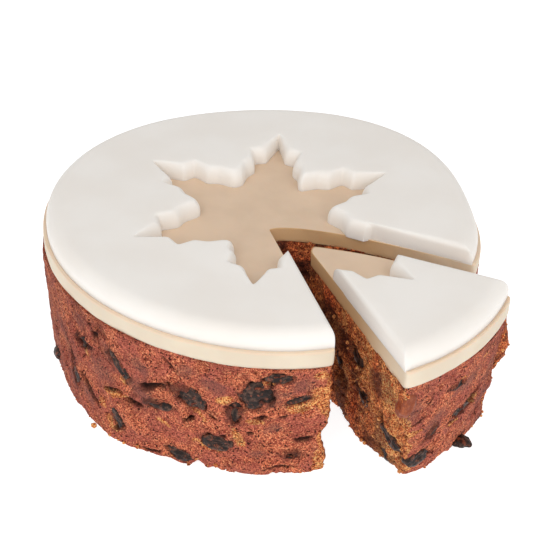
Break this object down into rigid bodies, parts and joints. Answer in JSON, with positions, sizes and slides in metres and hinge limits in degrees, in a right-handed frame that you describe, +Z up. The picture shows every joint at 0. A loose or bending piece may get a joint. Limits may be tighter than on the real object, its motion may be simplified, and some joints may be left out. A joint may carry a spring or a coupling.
{
  "type": "iced fruit cake",
  "caption": "Round Christmas fruit cake with a marzipan layer, thick white icing cut out as a snowflake, bare sides, and one slice drawn part-way out.",
  "frame": {"origin": "on the flat underside of the cake, on the axis of the round tin it was baked in", "axes": "+Z up; +X to the right and +Y away from the viewer who sees the slice drawn out at the front right"},
  "size_m": [0.162, 0.161, 0.0592],
  "materials": {
    "crumb": "baked fruit cake, matt, porous and uneven",
    "marzipan": "almond paste, smooth, matt, slightly translucent",
    "icing": "soft white sugar icing, smooth, satin",
    "raisin": "dried fruit, dark, wrinkled, slightly glossy"
  },
  "bodies": {
    "root": {"cake_crumb": "crumb", "cake_marzipan": "marzipan", "cake_icing": "icing", "cake_raisin_1": "raisin", "cake_raisin_2": "raisin", "cake_raisin_3": "raisin", "cake_raisin_4": "raisin", "cake_raisin_5": "raisin", "cake_raisin_6": "raisin", "cake_raisin_7": "raisin", "cake_raisin_8": "raisin", "cake_raisin_9": "raisin", "cake_raisin_10": "raisin", "cake_raisin_11": "raisin", "cake_raisin_12": "raisin", "cake_raisin_13": "raisin", "cake_raisin_14": "raisin", "slice_crumb": "crumb", "slice_marzipan": "marzipan", "slice_icing": "icing", "slice_raisin_1": "raisin", "slice_raisin_2": "raisin", "slice_raisin_3": "raisin", "slice_raisin_4": "raisin", "slice_raisin_5": "raisin", "slice_raisin_6": "raisin", "slice_raisin_7": "raisin", "slice_raisin_8": "raisin", "slice_raisin_9": "raisin", "slice_raisin_10": "raisin", "slice_raisin_11": "raisin"}
  },
  "joints": []
}
